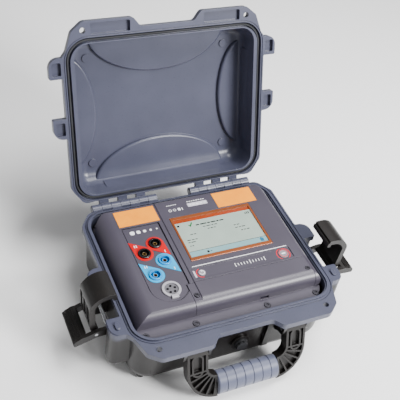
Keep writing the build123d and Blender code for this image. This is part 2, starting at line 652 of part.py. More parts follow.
def latch_lever():
    y0, y1 = LATCH_Y - LATCH_WIDTH / 2, LATCH_Y + LATCH_WIDTH / 2
    cheek = link_face(LATCH_PIN, CLAW_PIN, 5.2) + link_face(CLAW_PIN, (158.8, 25.0), 4.8)
    lever = side_prism(cheek, y0, y0 + CHEEK) + side_prism(cheek, y1 - CHEEK, y1)
    tab = make_face(FilletPolyline((156.5, 37), (162.5, 37), (164.5, 32), (161.5, 18.5), (155.0, 17.5), (154.0, 26),
                                   radius=[1, 1.5, 5, 2.2, 2, 6], close=True))
    lever += side_prism(tab, y0, y1)
    for index in range(4):
        x, z = 164.3 - 0.7 * index, 31.0 - 3.2 * index
        lever += block(x - 3, x + 0.9, y0 + 3, y1 - 3, z - 0.8, z + 0.8)
    lever -= depth_rod(LATCH_PIN[0], y0 - 1, y1 + 1, LATCH_PIN[1], LATCH_PIN_R + FIT)
    return lever - depth_rod(CLAW_PIN[0], y0 - 1, y1 + 1, CLAW_PIN[1], CLAW_PIN_R + 0.02)


def latch_claw():
    """C-shaped claw that swings on the lever's cross pin and hooks over the lid's ridge."""
    y0, y1 = LATCH_Y - LATCH_WIDTH / 2 + CHEEK + 0.6, LATCH_Y + LATCH_WIDTH / 2 - CHEEK - 0.6
    spine = FilletPolyline(CLAW_PIN, (160.3, 58), (161.8, 93), (150, 107), (133.8, 105.6),
                           radius=[10, 12, 20])
    hook = Pos(133.8, 102.3) * RectangleRounded(5, 7, 1.2)
    boss = Pos(*CLAW_PIN) * Circle(4.8)
    claw = side_prism(trace(spine, line_width=7.0) + hook + boss, y0, y1)
    # three flutes along the outside of the arm
    for index in range(3):
        y = y0 + 6.8 + index * 12.6
        claw -= block(162.8, 175, y - 4.4, y + 4.4, 62, 90)
    return claw - depth_rod(CLAW_PIN[0], y0 - 1, y1 + 1, CLAW_PIN[1], CLAW_PIN_R + FIT)


def valve_body():
    body = depth_rod(VALVE[0], BODY_FRONT - 4.5, BODY_FRONT - 2, VALVE[1], 9)
    return body + depth_rod(VALVE[0], BODY_FRONT - 2, BODY_FRONT + 8, VALVE[1], 6)


def valve_knob():
    knob = depth_rod(VALVE[0], BODY_FRONT - 8, BODY_FRONT - 4.8, VALVE[1], 8)
    for index in range(8):
        angle = math.radians(45 * index)
        knob -= depth_rod(VALVE[0] + 9 * math.cos(angle), BODY_FRONT - 10, BODY_FRONT,
                          VALVE[1] + 9 * math.sin(angle), 2)
    return knob


def foot(x, y):
    pad = rod(x, y, 0, 4.2, 9)
    return fillet(pad.faces().sort_by(Axis.Z)[0].edges(), 0.8)


# ---- write every piece ----
os.makedirs("parts", exist_ok=True)

save("base_shell", base_shell())
for index, (x, y) in enumerate(FEET, start=1):
    save(f"foot_{index}", foot(x, y))
save("front_panel", front_panel())
save("battery_cover", battery_cover())
for side, x in zip(("left", "right"), COVER_SCREWS):
    save(f"cover_screw_{side}", screw(x, COVER_SCREW_Y, TOP_Z - 1.6, 3.3, 1.35, 8))
for index, x in enumerate(PANEL_SCREWS, start=1):
    save(f"panel_screw_{index}", screw(x, SCREW_Y, LEDGE_Z - 1.0, 4.2, 1.65, 18))
save("accent_left", accent(0, 0.15))
save("accent_right", accent(1, 0.15))
save("current_label", terminal_label(("current_1", "current_2")))
save("voltage_label", terminal_label(("voltage_1", "voltage_2")))
for name, (x, y) in TERMINALS.items():
    save(f"socket_{name}", socket_body(x, y))
    save(f"contact_{name}", socket_contact(x, y))
save("aux_connector_shell", aux_shell())
save("aux_connector_insert", aux_insert())
save("aux_release_tab", aux_release())
save("display_bezel", display_bezel())
save("touch_lens", touch_lens())
save("display_module", display_module())
save("power_key", key(*POWER, 5.0, 0.9))
save("start_key", key(*START, 7.0, 1.1))
save("main_board", main_board())
save("display_board", display_board())
save("transformer", transformer())
for index, x in enumerate((-10, 14, 38), start=1):
    save(f"capacitor_{index}", capacitor(x))
save("battery_holder", battery_holder())
save("battery_cells", battery_cells())
save("vent_valve", valve_body())
save("vent_knob", valve_knob())

save("lid_shell", lid_close_to_open(lid_shell()))
save("lid_gasket", lid_close_to_open(seal_ring(5.6, LID_Z + 3, LID_Z + 6)))
save("handle_frame", handle_close_to_rest(handle_frame()))
save("handle_grip", handle_close_to_rest(handle_grip()))

for side, mark in (("left", -1), ("right", 1)):
    a, b = sorted((mark * GROUP[0], mark * GROUP[1]))
    save(f"hinge_pin_{side}", cross_rod(a, b, HINGE_Y, HINGE_Z, PIN_R))
    save(f"handle_pin_{side}", cross_rod(*sorted((mark * 49.0, mark * 85.5)), GRIP_PIVOT_Y, GRIP_PIVOT_Z, GRIP_PIN_R))
    angle = LATCH_OPEN[side]
    y0, y1 = LATCH_Y - LATCH_WIDTH / 2, LATCH_Y + LATCH_WIDTH / 2
    pieces = {
        "latch_pin": depth_rod(LATCH_PIN[0], -66, 10, LATCH_PIN[1], LATCH_PIN_R),
        "latch_lever": opened(latch_lever(), angle, False),
        "claw_pin": opened(depth_rod(CLAW_PIN[0], y0, y1, CLAW_PIN[1], CLAW_PIN_R), angle, False),
        "latch_claw": opened(latch_claw(), angle, True),
    }
    for name, solid in pieces.items():
        save(f"{name}_{side}", solid if mark > 0 else mirrored(solid))
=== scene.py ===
import math

import bpy
from mathutils import Matrix, Vector


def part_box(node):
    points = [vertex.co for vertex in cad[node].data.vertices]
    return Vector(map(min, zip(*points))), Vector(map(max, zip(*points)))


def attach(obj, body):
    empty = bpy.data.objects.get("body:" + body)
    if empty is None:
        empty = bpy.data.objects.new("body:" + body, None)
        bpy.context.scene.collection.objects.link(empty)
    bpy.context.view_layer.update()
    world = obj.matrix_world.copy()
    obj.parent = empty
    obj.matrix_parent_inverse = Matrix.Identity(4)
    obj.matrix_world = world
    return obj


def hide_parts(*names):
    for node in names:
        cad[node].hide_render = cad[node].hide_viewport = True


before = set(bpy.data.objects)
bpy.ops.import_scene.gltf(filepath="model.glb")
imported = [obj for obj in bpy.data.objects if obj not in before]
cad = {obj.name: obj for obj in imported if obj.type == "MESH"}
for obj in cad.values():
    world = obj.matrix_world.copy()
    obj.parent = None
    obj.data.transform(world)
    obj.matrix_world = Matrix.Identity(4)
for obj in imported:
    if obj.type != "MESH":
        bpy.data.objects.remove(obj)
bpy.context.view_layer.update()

# ---- Standpoint ----
# A camera held above the left front corner of the open case, with a short telephoto
# lens and its right side tipped up. It looks down at the panel and into the lid.
eye = Vector((-0.3679, -0.5652, 0.8182))
yaw = math.radians(30.78)
pitch = math.radians(43.04)
roll = math.radians(11.11)
ahead = Vector((math.sin(yaw) * math.cos(pitch), math.cos(yaw) * math.cos(pitch), -math.sin(pitch)))
level = Vector((math.cos(yaw), -math.sin(yaw), 0))
upright = level.cross(ahead)
to_right = math.cos(roll) * level + math.sin(roll) * upright
to_top = math.cos(roll) * upright - math.sin(roll) * level
lens_tube = bpy.data.cameras.new("camera")
lens_tube.lens = 68.65
lens_tube.sensor_width = 36
camera = bpy.data.objects.new("camera", lens_tube)
bpy.context.scene.collection.objects.link(camera)
stand = Matrix((to_right, to_top, -ahead)).transposed().to_4x4()
camera.matrix_world = Matrix.Translation(eye) @ stand
bpy.context.scene.camera = camera


# ---- Studio ----
# A pale matt table top in an even white room, lit by one strong soft box in front on
# the right, a very weak one on the left, and one overhead.
def srgb(code):
    """Linear colour of an sRGB hex code."""
    parts = [int(code[i:i + 2], 16) / 255 for i in (1, 3, 5)]
    return tuple(c / 12.92 if c <= 0.04045 else ((c + 0.055) / 1.055) ** 2.4 for c in parts) + (1,)


def step(tree, kind, sockets=None, **settings):
    """Adds one node; a socket given as another node's output is linked, anything else is set."""
    made = tree.nodes.new("ShaderNode" + kind)
    for name, value in settings.items():
        setattr(made, name, value)
    for name, value in (sockets or {}).items():
        if isinstance(value, bpy.types.NodeSocket):
            tree.links.new(value, made.inputs[name])
        else:
            made.inputs[name].default_value = value
    return made


def blend(tree, share, first, second):
    """Mixes two colours, each a hex code or another node's output, by share; gives the output."""
    ends = [srgb(end) if isinstance(end, str) else end for end in (first, second)]
    return step(tree, "Mix", {0: share, 6: ends[0], 7: ends[1]}, data_type="RGBA").outputs[2]


def table_top_finish():
    # Matt white laminate: almost even, with a faint broad mottle.
    material = bpy.data.materials.new("white_laminate")
    material.use_nodes = True
    tree = material.node_tree
    shader = tree.nodes["Principled BSDF"]
    place = step(tree, "TexCoord").outputs["Object"]
    mottle = step(tree, "TexNoise", {"Vector": place, "Scale": 3.0})
    tint = blend(tree, mottle.outputs["Fac"], "#fbfbfc", "#ffffff")
    tree.links.new(tint, shader.inputs["Base Color"])
    shader.inputs["Roughness"].default_value = 0.9
    return material


bpy.ops.object.select_all(action="DESELECT")
bpy.ops.mesh.primitive_plane_add(size=8, location=(0, 0, 0))
table_top = bpy.context.object
table_top.name = "studio_floor"
table_top.data.materials.append(table_top_finish())


def soft_box(name, place, aim, size, power):
    """Square area light of that size in metres and power in watts, turned towards aim."""
    glow = bpy.data.lights.new(name, "AREA")
    glow.size = size
    glow.energy = power
    lamp = bpy.data.objects.new(name, glow)
    bpy.context.scene.collection.objects.link(lamp)
    turn = (Vector(place) - Vector(aim)).to_track_quat("Z", "Y").to_matrix().to_4x4()
    lamp.matrix_world = Matrix.Translation(place) @ turn


soft_box("front_right_box", (0.9, -1.3, 1.15), (0, 0, 0.1), 0.6, 66)
soft_box("left_box", (-1.5, -0.5, 1.0), (0, 0, 0.1), 1.2, 1)
soft_box("top_box", (0.45, 0.0, 1.4), (0, 0.15, 0.1), 0.8, 29)
room = bpy.data.worlds.new("studio_air")
bpy.context.scene.world = room
room.use_nodes = True
air = room.node_tree.nodes["Background"]
air.inputs["Color"].default_value = (1, 1, 1, 1)
air.inputs["Strength"].default_value = 0.35

# ---- Case base ----
# A deep tub with a rim flange, latch ears and front carrying ears, injection moulded
# in one shot from grey polypropylene. It stands on four pressed-in rubber feet.
MM = 0.001
RIM_TOP = 90 * MM
FLANGE_FOOT = 83 * MM
WALL_TOP = 76 * MM
BROKEN_EDGE = 0.5 * MM
GLOSS_SPREAD = 0.07


def moulding(name, light, dark, gloss, grain_mm, relief_mm, mottle_mm=40, **sockets):
    """Moulded plastic, rubber or paint: a broad mottle in the colour over a raised grain.

    Grain is drawn a few times coarser than it is on the real surface, so that it shows.
    Edges catch light as if they were broken by half a millimetre.
    """
    material = bpy.data.materials.new(name)
    material.use_nodes = True
    tree = material.node_tree
    shader = tree.nodes["Principled BSDF"]
    place = step(tree, "TexCoord").outputs["Object"]
    mottle = step(tree, "TexNoise", {"Vector": place, "Scale": 1 / (mottle_mm * MM), "Detail": 4.0})
    spread = step(tree, "MapRange", {"Value": mottle.outputs["Fac"],
                                     "From Min": 0.3, "From Max": 0.7})
    tint = blend(tree, spread.outputs[0], dark, light)
    grain = step(tree, "TexNoise", {"Vector": place, "Scale": 1 / (grain_mm * MM), "Detail": 3.0})
    polish = step(tree, "MapRange", {"Value": grain.outputs["Fac"],
                                     "To Min": gloss - GLOSS_SPREAD,
                                     "To Max": gloss + GLOSS_SPREAD})
    edge = step(tree, "Bevel", {"Radius": BROKEN_EDGE}, samples=4)
    relief = step(tree, "Bump", {"Height": grain.outputs["Fac"], "Distance": relief_mm * MM,
                                 "Strength": 0.6, "Normal": edge.outputs[0]})
    tree.links.new(tint, shader.inputs["Base Color"])
    tree.links.new(polish.outputs[0], shader.inputs["Roughness"])
    tree.links.new(relief.outputs[0], shader.inputs["Normal"])
    for socket, value in sockets.items():
        shader.inputs[socket.replace("_", " ")].default_value = value
    return material


def coloured_over(material, share, over):
    """Blends another colour over a moulding's own, where share is 1."""
    tree = material.node_tree
    shader = tree.nodes["Principled BSDF"]
    own = next(node for node in tree.nodes if node.type == "MIX").outputs[2]
    tree.links.new(blend(tree, share, own, over), shader.inputs["Base Color"])


def case_resin_with_painted_shade():
    # Grey polypropylene from a lightly etched mould: a smooth blue-grey sheen above the flange;
    # below it the walls carry painted shade, a browner, almost black tone for the flange's shadow.
    material = moulding("case_polypropylene_painted_shade", "#464859", "#3f4151", 0.3, 1.4, 0.012,
                        IOR=1.49, Specular_IOR_Level=0.42)
    tree = material.node_tree
    place = step(tree, "TexCoord").outputs["Object"]
    height = step(tree, "SeparateXYZ", {0: place}).outputs["Z"]
    # painted shade: the colour darkens from the flange's foot down to the wall top, then stays
    # almost black, for the shadow under the flange
    painted_wall_shade = step(tree, "MapRange", {"Value": height, "From Min": FLANGE_FOOT, "From Max": WALL_TOP})
    coloured_over(material, painted_wall_shade.outputs[0], "#0f0c0b")
    return material


def dress(material, *names):
    """Gives CAD pieces their finish."""
    for name in names:
        cad[name].data.materials.clear()
        cad[name].data.materials.append(material)


case_finish_with_painted_shade = case_resin_with_painted_shade()
dress(case_finish_with_painted_shade, "base_shell")
# Black EPDM rubber: matt, with a slight dusty bloom.
foot_rubber = moulding("foot_rubber", "#26262a", "#1a1a1d", 0.8, 1.0, 0.04, IOR=1.5)
dress(foot_rubber, *[name for name in cad if name.startswith("foot_")])


def settle(piece, name, material, body):
    """Puts a finished piece's place into its mesh, names it and lets it ride."""
    bpy.ops.object.select_all(action="DESELECT")
    piece.select_set(True)
    bpy.context.view_layer.objects.active = piece
    bpy.ops.object.transform_apply(location=True, rotation=True, scale=True)
    piece.name = name
    piece.data.name = name
    piece.data.materials.clear()
    piece.data.materials.append(material)
    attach(piece, body)
    return piece


def tile(place, wide, long, thick, corner, turn=0.0):
    """Small plate with rounded corners, lying on place."""
    bpy.ops.object.select_all(action="DESELECT")
    bpy.ops.mesh.primitive_plane_add(size=1, location=place, rotation=(0, 0, turn))
    piece = bpy.context.object
    piece.scale = (wide, long, 1)
    bpy.ops.object.transform_apply(location=False, rotation=False, scale=True)
    bpy.ops.object.mode_set(mode="EDIT")
    if corner:
        bpy.ops.mesh.bevel(offset=corner, affect="VERTICES", segments=3)
    bpy.ops.mesh.extrude_region_move(TRANSFORM_OT_translate={"value": (0, 0, thick)})
    bpy.ops.mesh.select_all(action="SELECT")
    bpy.ops.mesh.normals_make_consistent(inside=False)
    bpy.ops.object.mode_set(mode="OBJECT")
    return piece


# A low oval nub on each front latch ear keys into the lid's pocket when the case shuts.
nub_out, nub_y = 149 * MM, -68 * MM
nub_wide, nub_long, nub_tall, nub_sunk = 6 * MM, 11 * MM, 2.9 * MM, 0.5 * MM
nub_corner, nub_round = 2.9 * MM, 0.8 * MM
for side, way in (("left", -1), ("right", 1)):
    nub_foot = (way * nub_out, nub_y, RIM_TOP - nub_sunk)
    nub = tile(nub_foot, nub_wide, nub_long, nub_tall, nub_corner)
    bpy.ops.object.mode_set(mode="EDIT")
    bpy.ops.mesh.select_all(action="DESELECT")
    bpy.ops.object.mode_set(mode="OBJECT")
    for face in nub.data.polygons:
        face.select = face.normal.z > 0.9
    bpy.ops.object.mode_set(mode="EDIT")
    bpy.ops.mesh.bevel(offset=nub_round, segments=3)
    bpy.ops.object.mode_set(mode="OBJECT")
    settle(nub, "ear_nub_" + side, case_finish_with_painted_shade, "base")

# ---- Lid and its seal ----
# The lid is moulded like the base, with four inward bulges that leave a cross standing
# on its back. A round silicone cord lies glued in the groove of its rim.
dress(case_finish_with_painted_shade, "lid_shell")
hinge = Vector((0, 129.0 * MM, 84.6 * MM))
lid_angle = math.radians(110)
opened = Matrix.Rotation(-lid_angle, 4, "X")
open_turn = Matrix.Translation(hinge) @ opened @ Matrix.Translation(-hinge)
# the groove's middle line and the cord in it, with the lid shut
seal_half, seal_front, seal_back, seal_corner = 134 * MM, -99.5 * MM, 115 * MM, 27 * MM
seal_z = 94.6 * MM
cord_radius = 1.9 * MM


def seal_cord():
    """Ring along the lid's groove: a rounded outline given a round section, then swung open."""
    bpy.ops.object.select_all(action="DESELECT")
    bpy.ops.mesh.primitive_plane_add(size=1, location=(0, (seal_front + seal_back) / 2, seal_z))
    ring = bpy.context.object
    ring.scale = (2 * seal_half, seal_back - seal_front, 1)
    bpy.ops.object.transform_apply(location=False, rotation=False, scale=True)
    bpy.ops.object.mode_set(mode="EDIT")
    bpy.ops.mesh.bevel(offset=seal_corner, affect="VERTICES", segments=10)
    bpy.ops.mesh.delete(type="ONLY_FACE")
    bpy.ops.object.mode_set(mode="OBJECT")
    bpy.ops.object.convert(target="CURVE")
    ring.data.bevel_depth = cord_radius
    ring.data.bevel_resolution = 4
    bpy.ops.object.convert(target="MESH")
    bpy.ops.object.shade_smooth()
    ring.matrix_world = open_turn @ ring.matrix_world
    return ring


# Black silicone foam cord: dull, with a fine open-cell skin.
seal_finish = moulding("silicone_seal", "#2c2d31", "#1e1f22", 0.62, 0.8, 0.06, IOR=1.41)
seal = settle(seal_cord(), "lid_seal_cord", seal_finish, "lid")
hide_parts("lid_gasket")


# ---- Hinge, handle and latch pins ----
# Plain rods of bright drawn steel, cut to length and pressed into one side of each joint.
# The other side turns on them.
def metal_finish(name, size_mm, dark, light, rough, relief_mm, detail=5.0, **sockets):
    """Metal with one pattern, of that size in x, y and z, in its colour, gloss and relief.

    rough is the roughness where the pattern is lowest and where it is highest.
    """
    material = bpy.data.materials.new(name)
    material.use_nodes = True
    tree = material.node_tree
    shader = tree.nodes["Principled BSDF"]
    place = step(tree, "TexCoord").outputs["Object"]
    per_metre = [1 / (size * MM) for size in size_mm]
    fitted = step(tree, "Mapping", {"Vector": place, "Scale": per_metre})
    pattern = step(tree, "TexNoise", {"Vector": fitted.outputs[0], "Scale": 1.0, "Detail": detail})
    height = pattern.outputs["Fac"]
    polish = step(tree, "MapRange", {"Value": height, "To Min": rough[0], "To Max": rough[1]})
    relief = step(tree, "Bump", {"Height": height, "Distance": relief_mm * MM, "Strength": 0.5})
    tree.links.new(blend(tree, height, dark, light), shader.inputs["Base Color"])
    tree.links.new(polish.outputs[0], shader.inputs["Roughness"])
    tree.links.new(relief.outputs[0], shader.inputs["Normal"])
    for socket, value in sockets.items():
        shader.inputs[socket.replace("_", " ")].default_value = value
    return material


# Drawn, ground steel wire: fine upright streaks that break up the highlight on the rod.
drawn_steel = metal_finish("drawn_steel", (0.6, 0.6, 12), "#a9abaf", "#dfe1e4", (0.18, 0.42), 0.02,
                           Metallic=1.0)
dress(drawn_steel, *[name for name in cad if "_pin_" in name])

# ---- Instrument panel and battery cover ----
# The panel is an ABS moulding with a thick rounded front and left shoulder; the display
# side stands a little higher. The battery cover takes up its front and is screwed on.
# Satin ABS from a spark-eroded mould: a tight even grain on a slightly violet grey.
panel_finish = moulding("satin_abs", "#48444f", "#413d48", 0.36, 1.2, 0.02, mottle_mm=60,
                        IOR=1.53, Specular_IOR_Level=0.45)
dress(panel_finish, "front_panel", "battery_cover")
# Steel screws with black passivated zinc: dark, with paler patches where it is rubbed.
black_zinc = metal_finish("black_zinc_steel", (1.5, 1.5, 1.5), "#17171a", "#56545c", (0.5, 0.3),
                          0.02, detail=4.0, Metallic=0.8)
dress(black_zinc, *[name for name in cad if "_screw_" in name])


# ---- Printed films on the panel ----
# Polyester overlays: orange corner fields, red and blue teardrops round the sockets, and
# white print. They are thin, satin and slightly embossed.
def film_finish(name, light, dark):
    """Screen-printed polyester: an even ink with a trace of mottle under a satin face."""
    return moulding(name, light, dark, 0.42, 0.9, 0.015, mottle_mm=12,
                    IOR=1.57, Specular_IOR_Level=0.15)


dress(film_finish("orange_print", "#ff9c00", "#f79200"), "accent_left", "accent_right")
dress(film_finish("red_print", "#c40612", "#b4050f"), "current_label")
dress(film_finish("blue_print", "#00a6dc", "#0099ce"), "voltage_label")
white_print = film_finish("white_print", "#f7f7f8", "#ececf0")
grey_print = film_finish("grey_print", "#c9c4cf", "#bcb7c3")
INK = 0.12 * MM
INK_SUNK = 0.02 * MM
# the panel's levels: display side, terminal side, the floors of the bay and of the key
# strip, and the top of the films round the sockets
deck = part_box("front_panel")[1][2]
low_deck = deck - 1.2 * MM
bay_floor = low_deck - 1.5 * MM
strip_floor = deck - 1.0 * MM
label_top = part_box("current_label")[1][2]


def join(pieces):
    """Makes one mesh of several."""
    bpy.ops.object.select_all(action="DESELECT")
    for piece in pieces:
        piece.select_set(True)
    bpy.context.view_layer.objects.active = pieces[0]
    bpy.ops.object.join()
    return bpy.context.object


def ink(x, y, wide, long, height, corner=0.0, turn=0.0):
    """Printed patch centred on x and y, in millimetres, lying on a surface of that height."""
    return tile((x * MM, y * MM, height - INK_SUNK), wide * MM, long * MM, INK, corner * MM, turn)


def hoop(x, y, outer, inner, height, start=0.0, sweep=360.0):
    """Printed ring or part of one, with radii in millimetres: its cross-section, spun round."""
    bpy.ops.object.select_all(action="DESELECT")
    reach = (outer + inner) / 2 * MM
    angle = math.radians(start)
    place = (x * MM + reach * math.cos(angle), y * MM + reach * math.sin(angle), height - INK_SUNK)
    bpy.ops.mesh.primitive_plane_add(size=1, location=place, rotation=(math.pi / 2, 0, angle))
    ring = bpy.context.object
    ring.scale = ((outer - inner) * MM, INK, 1)
    bpy.ops.object.transform_apply(location=True, rotation=True, scale=True)
    full = sweep >= 360
    bpy.ops.object.mode_set(mode="EDIT")
    bpy.ops.mesh.select_all(action="SELECT")
    bpy.ops.mesh.spin(steps=40 if full else 20, angle=math.radians(sweep), axis=(0, 0, 1),
                      center=(x * MM, y * MM, height))
    bpy.ops.mesh.select_all(action="SELECT")
    bpy.ops.mesh.remove_doubles(threshold=0.005 * MM)
    if full:
        bpy.ops.mesh.select_all(action="DESELECT")
        bpy.ops.mesh.select_interior_faces()
        bpy.ops.mesh.delete(type="FACE")
    bpy.ops.mesh.select_all(action="SELECT")
    bpy.ops.mesh.normals_make_consistent(inside=False)
    bpy.ops.object.mode_set(mode="OBJECT")
    return ring


def print_on_case(piece, name, finish=white_print):
    """Fixes a printed mark to the panel."""
    settle(piece, name, finish, "base")


# the long rule under the display, and the scale between the keys
print_on_case(ink(34, -17, 136, 1.1, deck, 0.4), "white_rule")
strip_y = -28.5
ticks = []
for index in range(11):
    long = 6.5 if index % 5 == 0 else 4.0
    ticks.append(ink(22 + 4.2 * index, strip_y, 1.0, long, strip_floor, 0.3))
print_on_case(join(ticks), "strip_scale")
# marks for the leads: one bar or two on each teardrop's tip, and dots behind the sockets
bars = []
for x, y, count in ((-56, 19.5, 1), (-91.5, 36.5, 2), (-54.5, -10.5, 1), (-90.5, 0.5, 2)):
    bars += [ink(x + 2.6 * index, y, 1.1, 4.2, label_top, 0.3) for index in range(count)]
dots = []
for index in range(5):
    wide = 6.2 - index
    dots.append(ink(-86 + 8.5 * index, 60, wide, wide, bay_floor, 2.0 - 0.3 * index))
print_on_case(join(bars), "terminal_marks")
print_on_case(join(dots), "bay_dots")
# plain signs at the back: dashes, rings and boxes, and a pale table with a row of dashes
sign_y, table_y = 83.5, 87.5
signs = [ink(x, 93.0, 2.2, 1.0, deck, 0.2) for x in (-25, -22, -19, -16, -13)]
signs += [hoop(x, sign_y, 2.3, 1.6, deck) for x in (-24, -17.5)]
signs += [ink(-11, sign_y, 3.6, 4.6, deck, 0.3), ink(-6.5, sign_y, 1.2, 4.6, deck, 0.3)]
signs += [ink(5 + 3.4 * index, 94.0, 2.4, 1.1, deck, 0.2) for index in range(8)]
print_on_case(join(signs), "back_signs")
print_on_case(ink(17.5, table_y, 29, 6.6, deck, 0.6), "back_table", grey_print)
rows = [ink(6.5 + 5.5 * index, table_y, 3.6, 0.9, deck + INK, 0.2) for index in range(5)]
print_on_case(join(rows), "back_table_rows")
# the pale field beside the power key
print_on_case(ink(-35.5, strip_y, 4.6, 11, strip_floor, 0.4), "power_field", grey_print)

# ---- Test sockets ----
# Four shrouded 4 mm sockets in polyamide, screwed in from below, with gilt brass sleeves.
# Glossy polyamide from a polished mould: smooth and wet-looking, with a faint ripple.
black_nylon = moulding("black_polyamide", "#131315", "#0b0b0c", 0.2, 2.5, 0.02,
                       Coat_Weight=0.3, IOR=1.53)
blue_nylon = moulding("blue_polyamide", "#008ed2", "#0082c4", 0.22, 2.5, 0.02,
                      Coat_Weight=0.3, IOR=1.53)
dress(black_nylon, "socket_current_1", "socket_current_2")
dress(blue_nylon, "socket_voltage_1", "socket_voltage_2")
# Turned brass with a thin gold flash: warm and bright, a little uneven from handling.
gilt_brass = metal_finish("gilt_brass", (0.7, 0.7, 0.7), "#b98a3c", "#e3c07a", (0.2, 0.4), 0.01,
                          Metallic=1.0)
dress(gilt_brass, *[name for name in cad if name.startswith("contact_")])

# ---- Accessory connector ----
# A round five-pole socket: a pale moulded collar with a release tab, and a grey insert
# whose contact holes stand in a ring. Black discs close the holes below their mouths.
# Satin polycarbonate for the collar and its tab: pale and smooth, with soft highlights.
collar_finish = moulding("collar_polycarbonate", "#a5a2aa", "#989599", 0.35, 1.2, 0.03, IOR=1.58)
dress(collar_finish, "aux_connector_shell", "aux_release_tab")
# Matt glass-filled polyester for the insert: a flat mid grey that sets off its dark holes.
insert_finish = moulding("connector_insert", "#5c5a60", "#4f4d52", 0.5, 0.8, 0.03, IOR=1.55)
dress(insert_finish, "aux_connector_insert")
port_x, port_y, port_ring = -71, -41, 5
hole_depth, disc_radius, disc_thick, disc_round = 1.6 * MM, 1.7 * MM, 1.0 * MM, 0.15 * MM
hole_floors = []
for index in range(5):
    angle = math.radians(90 + 72 * index)
    x = port_x + port_ring * math.cos(angle)
    y = port_y + port_ring * math.sin(angle)
    bpy.ops.object.select_all(action="DESELECT")
    bpy.ops.mesh.primitive_cylinder_add(vertices=20, radius=disc_radius, depth=disc_thick,
                                        location=(x * MM, y * MM, bay_floor - hole_depth))
    bpy.ops.object.mode_set(mode="EDIT")
    bpy.ops.mesh.bevel(offset=disc_round, segments=2)
    bpy.ops.object.mode_set(mode="OBJECT")
    hole_floors.append(bpy.context.object)
settle(join(hole_floors), "connector_hole_floors", black_nylon, "base")

# ---- Display ----
# A colour touch display behind clear glass, in a copper-coloured moulded frame. It shows
# the instrument's own menu: a top bar, a foot bar and plain lines.
# Copper-coloured metallic paint on ABS: fine flakes give it a soft sparkle.
copper_paint = moulding("copper_paint", "#8f4a20", "#7f411b", 0.34, 0.5, 0.01,
                        Metallic=0.25, Coat_Weight=0.2)
dress(copper_paint, "display_bezel")


def lit_glass():
    # Polished cover glass over a pale liquid-crystal cell: even and glossy, faintly banded,
    # with finger smears that dull it in patches.
    material = bpy.data.materials.new("display_glass")
    material.use_nodes = True
    tree = material.node_tree
    shader = tree.nodes["Principled BSDF"]
    place = step(tree, "TexCoord").outputs["Object"]
    bands = step(tree, "TexNoise", {"Vector": place, "Scale": 1 / (30 * MM), "Detail": 2.0})
    tint = blend(tree, bands.outputs["Fac"], "#8f9f95", "#a3b0a7")
    smear = step(tree, "TexNoise", {"Vector": place, "Scale": 1 / (9 * MM), "Detail": 4.0})
    polish = step(tree, "MapRange", {"Value": smear.outputs["Fac"], "To Min": 0.1, "To Max": 0.28})
    relief = step(tree, "Bump", {"Height": smear.outputs["Fac"], "Distance": 0.005 * MM,
                                 "Strength": 0.3})
    tree.links.new(tint, shader.inputs["Base Color"])
    tree.links.new(polish.outputs[0], shader.inputs["Roughness"])
    tree.links.new(relief.outputs[0], shader.inputs["Normal"])
    shader.inputs["IOR"].default_value = 1.5
    return material


dress(lit_glass(), "touch_lens")
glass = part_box("touch_lens")
glass_top = glass[1][2]
view_left, view_front = glass[0][0] / MM, glass[0][1] / MM
view_right, view_back = glass[1][0] / MM, glass[1][1] / MM
view_wide = view_right - view_left
middle_x = (view_left + view_right) / 2


def show(piece, name, finish, light, dark):
    """Puts one patch of the display's menu in place, glossy like the glass that it lies on."""
    lit = moulding(finish, light, dark, 0.2, 9, 0.004, mottle_mm=30, IOR=1.5)
    settle(piece, name, lit, "base")


top_tall, foot_tall = 5.4, 9.6
foot_y = view_front + foot_tall / 2
top_bar = ink(middle_x, view_back - top_tall / 2, view_wide, top_tall, glass_top)
show(top_bar, "picture_top_bar", "picture_orange", "#9a3c18", "#8c3614")
top_note = ink(middle_x + 28, view_back - 2.9, 22, 2.8, glass_top + INK, 0.4)
show(top_note, "picture_top_note", "picture_dark_orange", "#9c3a1c", "#903418")
foot_bar = ink(middle_x, foot_y, view_wide, foot_tall, glass_top)
show(foot_bar, "picture_foot_bar", "picture_blue", "#7fa3a8", "#779b9f")
# rows of plain bars: the left end and height of each row, and the widths of its bars
lines = [ink(middle_x, view_front + 10.0, view_wide - 2, 0.5, glass_top)]
for x, y, widths in ((0, 50.5, (5, 9, 4, 7, 3, 6)), (8, 45.5, (4, 6, 3, 4)), (13, 40.5, (3, 4, 2)),
                     (-14, 36, (4, 3)), (-22, 27, (5, 4, 3)), (-22, 23, (3, 6)), (-22, 17, (2, 2)),
                     (50, 37, (3, 4)), (50, 32, (4, 3, 5)), (56, 26, (3, 3, 4))):
    for wide in widths:
        lines.append(ink(x + wide / 2, y, wide, 1.2 if y < 50 else 1.9, glass_top, 0.2))
        x += wide + 1.3
show(join(lines), "picture_lines", "picture_grey", "#1f2827", "#1a2120")
# small signs: a dot and a level gauge at the top, a dot and a dash at the foot
icon_y = view_back - 10.5
icons = [ink(-24, icon_y, 3.2, 3.2, glass_top, 0.5),
         ink(view_right - 6.5, icon_y, 1.2, 4.2, glass_top),
         ink(view_right - 4.0, icon_y, 1.2, 4.2, glass_top),
         ink(view_right - 9.0, icon_y - 0.5, 1.2, 3, glass_top),
         ink(-2.5, foot_y, 3.0, 3.4, glass_top + INK, 0.5),
         ink(1.8, foot_y, 2.6, 0.9, glass_top + INK)]
show(join(icons), "picture_signs", "picture_black", "#23282c", "#1a1e22")
